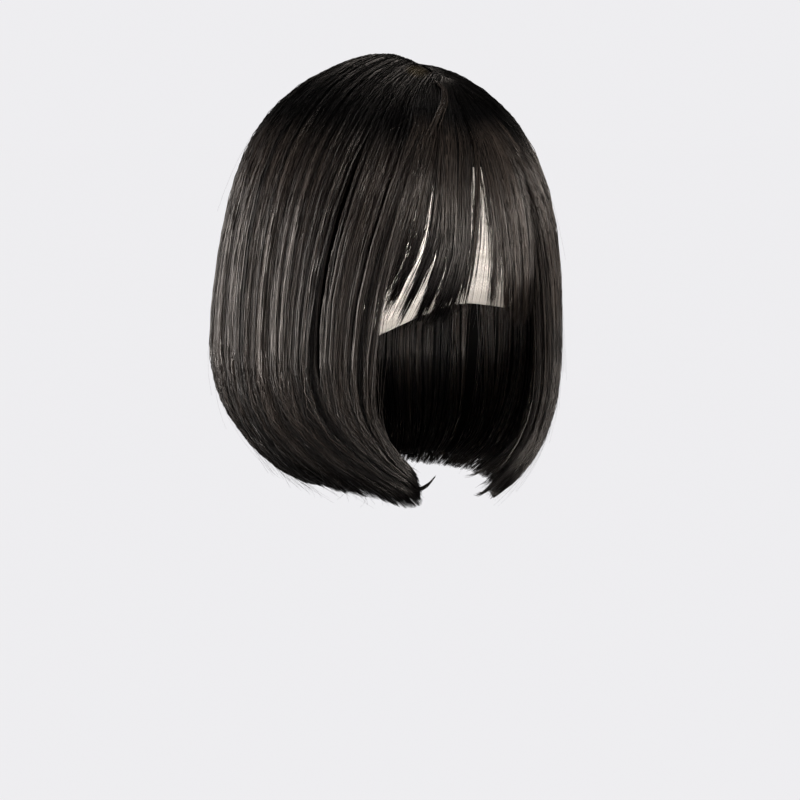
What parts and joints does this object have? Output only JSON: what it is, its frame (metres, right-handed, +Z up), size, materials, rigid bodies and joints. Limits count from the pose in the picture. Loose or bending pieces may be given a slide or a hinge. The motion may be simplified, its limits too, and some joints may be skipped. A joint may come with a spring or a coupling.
{
  "type": "short bob wig",
  "caption": "Chin-length bob wig of straight black hair with a thin see-through fringe, tips turned in under the chin, on a stretch-net cap that fits over a head.",
  "frame": {"origin": "inside of the cap's crown, where the top of the wearer's head bears", "axes": "+Z up along the wearer's head, -Y towards the front of the face opening, -X towards the wearer's right"},
  "size_m": [0.2, 0.234, 0.2598],
  "materials": {
    "cap_net": "matt pale stretch net",
    "parting_skin": "skin-coloured silk",
    "hair": "sleek synthetic fibre"
  },
  "bodies": {
    "root": {"cap": "cap_net", "parting_patch": "parting_skin", "bangs": "hair", "left_face_lock": "hair", "left_side_hair": "hair", "back_hair": "hair", "right_side_hair": "hair", "right_face_lock": "hair"}
  },
  "joints": []
}
